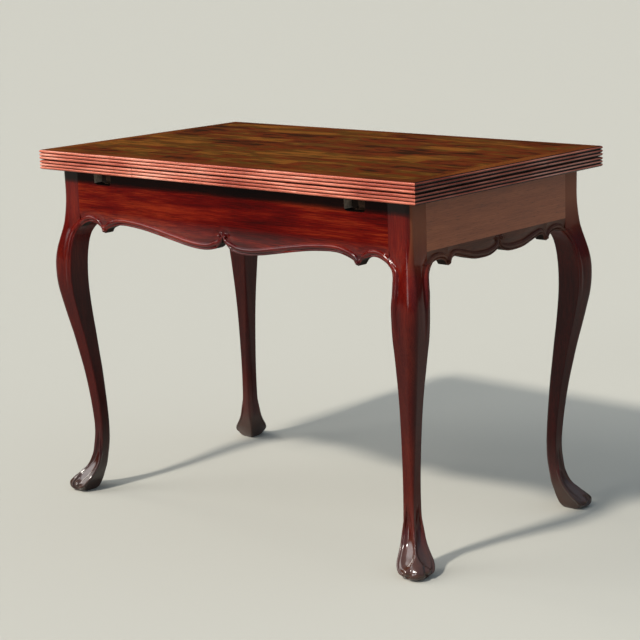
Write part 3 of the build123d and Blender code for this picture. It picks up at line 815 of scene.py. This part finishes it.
def reeded_wood(name, along, bottom, pitch, deep, middle, light, groove, crest=0.5, bright_half_width=0.30):
    """The strips' wood: worn and bright on the reeds, and dark in the grooves, where old polish and painted
    shade lie.
    """
    material = polished_wood(name, along, deep, middle, light, coat=0.3, gloss=0.26)
    nodes = material.node_tree.nodes
    place = added_node(nodes, "TexCoord")
    split = added_node(nodes, "SeparateXYZ")
    raised = added_node(nodes, "Math", {1: bottom * MM}, operation="SUBTRACT")
    turns = added_node(nodes, "Math", {1: pitch * MM}, operation="DIVIDE")
    part = added_node(nodes, "Math", operation="FRACT")
    centred = added_node(nodes, "Math", {1: crest}, operation="SUBTRACT")
    away = added_node(nodes, "Math", operation="ABSOLUTE")
    dark = added_node(nodes, "MapRange", {"From Min": bright_half_width, "From Max": bright_half_width + 0.14})
    mix = added_node(nodes, "MixRGB", {"Color2": (*groove, 1)})
    join_nodes(nodes, [
        (place, "Object", split, 0), (split, "Z", raised, 0), (raised, 0, turns, 0), (turns, 0, part, 0),
        (part, 0, centred, 0), (centred, 0, away, 0), (away, 0, dark, "Value"),
        (dark, "Result", mix, "Fac")])
    mixed_over(material, mix)
    return material


top_bottom = 739.5
leaf_bottom = 718.3
top_thickness = 20.5
leaf_thickness = 19.7
centre_thickness = 20.0
top_reed = top_thickness / reed_count
leaf_reed = leaf_thickness / reed_count
# The long strips' tones: worn, lighter wood, brightened further as painted sunlight on the reeds.
reed_tones = ((0.30, 0.050, 0.028), (0.60, 0.165, 0.100), (0.92, 0.420, 0.300))
groove_tone = (0.045, 0.003, 0.001)
# The short sides' strips are a painted shade copy of the long ones: their tones darker, their grooves
# darker and wider, and each reed light only near its top as painted light from above.
painted_shade_share = 0.85
painted_shade_tones = [tuple(v * painted_shade_share for v in tone) for tone in reed_tones]
painted_shade_groove = ((0.008, 0.003, 0.002), 0.6, 0.12)
strip_woods = {
    "top_x": reeded_wood("reeds_top_long", "x", top_bottom, top_reed, *reed_tones, groove_tone),
    "top_y": reeded_wood("reeds_top_short", "y", top_bottom, top_reed, *painted_shade_tones, *painted_shade_groove),
    "leaf_x": reeded_wood("reeds_leaf_long", "x", leaf_bottom, leaf_reed, *reed_tones, groove_tone),
    "leaf_y": reeded_wood("reeds_leaf_short", "y", leaf_bottom, leaf_reed, *painted_shade_tones, *painted_shade_groove),
}
border_tones = ((0.050, 0.009, 0.002), (0.125, 0.029, 0.006), (0.180, 0.052, 0.010))
border_woods = {axis: polished_wood("border_" + axis, axis, *border_tones, coat=0.12) for axis in "xy"}


def placed_strip(node, body, wood, piece, turn, offset):
    """Turns a strip about the upright axis and sets it on its edge."""
    move = Matrix.Translation([v * MM for v in offset]) @ Matrix.Rotation(math.radians(turn), 4, "Z")
    placed = turned_copy(piece, node + "_reeded", move)
    placed.data.materials.append(strip_woods[wood])
    placed.data.materials.append(border_woods[wood[-1]])
    # The flat faces behind the reeds are the dark border of the top.
    for face, unturned in zip(placed.data.polygons, piece.data.polygons):
        flat = abs(unturned.normal.z) > 0.99 and unturned.center.y > reed_depth * MM
        face.material_index = 1 if flat else 0
    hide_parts(node)
    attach(placed, body)


long_edge = reeded_strip("long_edge", 2 * half_length, top_thickness, True, True, 3.0)
short_edge = reeded_strip("short_edge", 2 * half_depth, top_thickness, True, True, 17.0)
top_lips = (
    ("top_lip_front", "top_x", long_edge, 0, 0, -half_depth),
    ("top_lip_back", "top_x", long_edge, 180, 0, half_depth),
    ("top_lip_left", "top_y", short_edge, -90, -half_length, 0),
    ("top_lip_right", "top_y", short_edge, 90, half_length, 0),
)
for node, wood, piece, turn, x, y in top_lips:
    placed_strip(node, "main_top", wood, piece, turn, (x, y, top_bottom))

joint_place = 229.0
joint_recess = 0.8
board_half = 46.5
leaf_inner = 47.0
outer_length = half_length - joint_place
end_length = half_depth - leaf_inner
side_edge = reeded_strip("side_edge", outer_length, leaf_thickness, True, False, 29.0)
other_side_edge = reeded_strip("other_side_edge", outer_length, leaf_thickness, False, True, 31.0)
middle_edge = reeded_strip("middle_edge", 2 * joint_place, leaf_thickness, False, False, 37.0)
end_edge = reeded_strip("end_edge", end_length, leaf_thickness, False, True, 41.0)
other_end_edge = reeded_strip("other_end_edge", end_length, leaf_thickness, True, False, 43.0)
edge_centre = (half_length + joint_place) / 2
end_centre = (half_depth + leaf_inner) / 2
for leaf, sign, turn in (("front_leaf", 1, 0), ("back_leaf", -1, 180)):
    pieces = (
        ("_lip_left", "leaf_x", side_edge, 0, -edge_centre, -half_depth),
        ("_lip_right", "leaf_x", other_side_edge, 0, edge_centre, -half_depth),
        ("_lip_middle", "leaf_x", middle_edge, 0, 0, joint_recess - half_depth),
        ("_end_lip_left", "leaf_y", end_edge, -90, -half_length, -end_centre),
        ("_end_lip_right", "leaf_y", other_end_edge, 90, half_length, -end_centre),
    )
    for part, wood, piece, own_turn, x, y in pieces:
        placed_strip(leaf + part, leaf, wood, piece, own_turn + turn, (sign * x, sign * y, leaf_bottom))
centre_edge = reeded_strip("centre_edge", 2 * board_half, centre_thickness, False, False, 47.0)
for name, side in (("left", -1), ("right", 1)):
    place = (side * half_length, 0, frame_top)
    placed_strip("centre_board_lip_" + name, "frame", "leaf_y", centre_edge, side * 90, place)
top_models = [long_edge, short_edge]
leaf_models = [side_edge, other_side_edge, middle_edge, end_edge, other_end_edge, centre_edge]
for model in top_models + leaf_models:
    bpy.data.objects.remove(model)

# The main top, the leaves and the centre board are panels veneered with small
# staves of figured wood, laid along the table in shifted rows, stained brown
# and polished, so neighbouring staves take the light differently.


def parquet_wood(name, stave_length, stave_width, tones, gloss):
    """Rows of staves along X, each with its own tone and figure."""
    material, nodes, shader = new_material(name)
    place = added_node(nodes, "TexCoord")
    staves = added_node(nodes, "TexBrick", {
        "Scale": 1.0, "Brick Width": stave_length, "Row Height": stave_width, "Mortar Size": 0.0,
        "Color1": (0, 0, 0, 1), "Color2": (1, 1, 1, 1)}, offset=0.37)
    streaks = stretched_noise(nodes, place, (5, 32, 1), {"Detail": 5.0, "Distortion": 0.9})
    fine = stretched_noise(nodes, place, (22, 130, 1), {"Detail": 2.0})
    cloud = added_node(nodes, "TexNoise", {"Scale": 4.0, "Detail": 3.0})
    tone = added_node(nodes, "Math", {1: 0.24, 2: -0.22}, operation="MULTIPLY_ADD")
    figure = added_node(nodes, "Math", {1: 0.85}, operation="MULTIPLY_ADD")
    grain = added_node(nodes, "Math", {1: 0.45}, operation="MULTIPLY_ADD")
    patch = added_node(nodes, "Math", {1: 0.35}, operation="MULTIPLY_ADD")
    darkest, lightest = 0.56, 0.90
    step = (lightest - darkest) / (len(tones) - 1)
    colours = tone_ramp(nodes, [(darkest + step * index, colour) for index, colour in enumerate(tones)])
    rough = added_node(nodes, "MapRange", {"To Min": gloss, "To Max": gloss + 0.3})
    bump = added_node(nodes, "Bump", {"Strength": 0.1, "Distance": 0.0003})
    join_nodes(nodes, [
        (place, "Object", staves, "Vector"), (place, "Object", cloud, "Vector"), (staves, "Color", tone, 0),
        (streaks, "Fac", figure, 0), (tone, 0, figure, 2), (fine, "Fac", grain, 0), (figure, 0, grain, 2),
        (cloud, "Fac", patch, 0), (grain, 0, patch, 2), (patch, 0, colours, "Fac"),
        (colours, "Color", shader, "Base Color"), (streaks, "Fac", rough, "Value"),
        (rough, "Result", shader, "Roughness"), (fine, "Fac", bump, "Height"),
        (bump, "Normal", shader, "Normal"),
    ])
    set_values(shader, {"Coat Weight": 0.08, "Coat Roughness": 0.1, "Specular IOR Level": 0.15})
    return material


top_tones = ((0.028, 0.006, 0.001), (0.140, 0.018, 0.002), (0.070, 0.030, 0.003), (0.200, 0.062, 0.007))
top_wood = parquet_wood("figured_staves", 0.13, 0.045, top_tones, 0.18)
for node in ("top_panel", "front_leaf_panel", "back_leaf_panel", "centre_board"):
    finished_in(node, top_wood)

# Held inside: the tapered bearers of the leaves with their stop pegs, the
# guides beside them, the corner braces and the two locating pegs, all planed
# from plain wood and left unpolished.
# Painted shade: the bearers are much darker than the other plain wood, for the shade inside the frame where
# they show through the notches.
bearer_wood_painted_shade = raw_wood("bearer_wood_painted_shade", (0.020, 0.010, 0.006), (0.070, 0.038, 0.022), "y")
brace_wood = raw_wood("brace_wood", (0.13, 0.07, 0.04), (0.30, 0.19, 0.11), "x")
peg_wood = raw_wood("peg_wood", (0.20, 0.12, 0.06), (0.42, 0.29, 0.17), "z")
leaves = ("front_leaf", "back_leaf")
sides = ("left", "right")
plain_pieces = {
    bearer_wood_painted_shade: ["%s_loper_%s" % (leaf, side) for leaf in leaves for side in sides],
    brace_wood: ["corner_block_" + corner for corner in legs]
    + ["loper_guide_%s_%s" % (side, part) for side in sides for part in ("inner", "outer")],
    peg_wood: ["front_leaf_stop_pegs", "back_leaf_stop_pegs", "locating_peg_left", "locating_peg_right"],
}
for wood, names in plain_pieces.items():
    for node in names:
        finished_in(node, wood)

# Two strips of green felt on the centre board, which the main top rests on,
# and the steel screws that hold the bearers, guides, braces and pegs.
felt, felt_nodes, felt_shader = new_material("green_felt")
felt_place = added_node(felt_nodes, "TexCoord")
felt_fibres = added_node(felt_nodes, "TexNoise", {"Scale": 900.0, "Detail": 4.0})
felt_colours = tone_ramp(felt_nodes, ((0.0, (0.010, 0.040, 0.018)), (1.0, (0.045, 0.130, 0.062))))
felt_bump = added_node(felt_nodes, "Bump", {"Strength": 0.8, "Distance": 0.0006})
join_nodes(felt_nodes, [
    (felt_place, "Object", felt_fibres, "Vector"), (felt_fibres, "Fac", felt_colours, "Fac"),
    (felt_colours, "Color", felt_shader, "Base Color"), (felt_fibres, "Fac", felt_bump, "Height"),
    (felt_bump, "Normal", felt_shader, "Normal")])
set_values(felt_shader, {"Roughness": 0.95, "Sheen Weight": 0.4})
steel, steel_nodes, steel_shader = new_material("old_steel")
steel_place = added_node(steel_nodes, "TexCoord")
steel_spots = added_node(steel_nodes, "TexNoise", {"Scale": 420.0, "Detail": 5.0})
steel_colours = tone_ramp(steel_nodes, ((0.38, (0.16, 0.09, 0.05)), (0.6, (0.50, 0.49, 0.46))))
steel_rough = added_node(steel_nodes, "MapRange", {"To Min": 0.6, "To Max": 0.3})
join_nodes(steel_nodes, [
    (steel_place, "Object", steel_spots, "Vector"), (steel_spots, "Fac", steel_colours, "Fac"),
    (steel_colours, "Color", steel_shader, "Base Color"), (steel_spots, "Fac", steel_rough, "Value"),
    (steel_rough, "Result", steel_shader, "Roughness")])
set_values(steel_shader, {"Metallic": 0.9})
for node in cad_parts:
    if node.startswith("felt") or "screws" in node:
        finished_in(node, felt if node.startswith("felt") else steel)

# The studio: a pale floor, a sky of soft light that is brighter on two sides, a
# lamp from the front where the photo has the sun, a weak one from the left, and
# the camera that was fitted to the photo.
bpy.ops.mesh.primitive_plane_add(size=60, location=(0, 0, 0))
floor = bpy.context.object
floor.name = "floor"
pale_floor, floor_nodes, floor_shader = new_material("pale_floor")
set_values(floor_shader, {"Roughness": 0.9, "Specular IOR Level": 0.1})
floor_rays = added_node(floor_nodes, "LightPath")
seen_direct = added_node(floor_nodes, "Math", use_clamp=True)
seen_any = added_node(floor_nodes, "Math", use_clamp=True)
floor_tones = added_node(
    floor_nodes, "MixRGB", {"Color1": (0.20, 0.19, 0.17, 1), "Color2": (0.485, 0.47, 0.41, 1)})
join_nodes(floor_nodes, [
    (floor_rays, "Is Camera Ray", seen_direct, 0), (floor_rays, "Is Glossy Ray", seen_direct, 1),
    (seen_direct, 0, seen_any, 0), (floor_rays, "Is Transmission Ray", seen_any, 1),
    (seen_any, 0, floor_tones, "Fac"), (floor_tones, "Color", floor_shader, "Base Color")])
floor.data.materials.append(pale_floor)

sky = bpy.data.worlds.new("sky")
bpy.context.scene.world = sky
sky.use_nodes = True
sky_nodes = sky.node_tree.nodes
sky_light = sky_nodes["Background"]
sky_place = added_node(sky_nodes, "TexCoord")
sky_side = added_node(sky_nodes, "VectorMath", {1: (0.42, -0.10, 0.90)}, operation="DOT_PRODUCT")
sky_tones = tone_ramp(sky_nodes, ((0.05, (0.026, 0.024, 0.014)), (0.75, (0.44, 0.525, 0.63))))
sky_tones.color_ramp.interpolation = "EASE"
join_nodes(sky_nodes, [(sky_place, "Generated", sky_side, 0), (sky_side, "Value", sky_tones, "Fac")])
so_far = sky_tones
# Where each bright side is, how near to it its light starts and is full, and how strong it is.
bright_sides = (((-0.62, -0.52, 0.58), 0.92, 0.985, 4.5), ((-0.12, -0.96, 0.25), 0.970, 0.992, 6.5))
for direction, edge, centre, level in bright_sides:
    soft_side = added_node(sky_nodes, "VectorMath", {1: direction}, operation="DOT_PRODUCT")
    soft_light = added_node(
        sky_nodes, "MapRange", {"From Min": edge, "From Max": centre, "To Max": level},
        interpolation_type="SMOOTHSTEP")
    both_lights = added_node(sky_nodes, "MixRGB", {"Fac": 1.0}, blend_type="ADD")
    join_nodes(sky_nodes, [
        (sky_place, "Generated", soft_side, 0), (soft_side, "Value", soft_light, "Value"),
        (so_far, "Color", both_lights, "Color1"), (soft_light, "Result", both_lights, "Color2")])
    so_far = both_lights
join_nodes(sky_nodes, [(so_far, "Color", sky_light, "Color")])
sky_light.inputs["Strength"].default_value = 1.0

for name, energy, angle, colour, towards in (
        ("front_lamp", 2.85, 5, (1.0, 0.95, 0.88), (0.06, 0.69, -0.72)),
        ("left_lamp", 0.5, 16, (1.0, 0.96, 0.90), (0.86, 0.06, -0.50))):
    lamp_data = bpy.data.lights.new(name, "SUN")
    lamp_data.energy = energy
    lamp_data.angle = math.radians(angle)
    lamp_data.color = colour
    lamp = bpy.data.objects.new(name, lamp_data)
    bpy.context.collection.objects.link(lamp)
    lamp.rotation_mode = "QUATERNION"
    lamp.rotation_quaternion = Vector(towards).to_track_quat("-Z", "Y")

camera_data = bpy.data.cameras.new("camera")
camera_data.lens = 103.26
camera_data.sensor_width = 36
camera = bpy.data.objects.new("camera", camera_data)
bpy.context.collection.objects.link(camera)
right = Vector((0.74528762, 0.66597913, -0.03190846))
up = Vector((-0.11795849, 0.17880559, 0.97678777))
ahead = Vector((-0.65622569, 0.72422397, -0.21181948))
facing = Matrix((right, up, -ahead)).transposed().to_4x4()
camera.matrix_world = Matrix.Translation((2.5608, -2.8187, 1.21825)) @ facing
bpy.context.scene.camera = camera
bpy.context.scene.view_settings.view_transform = "Standard"
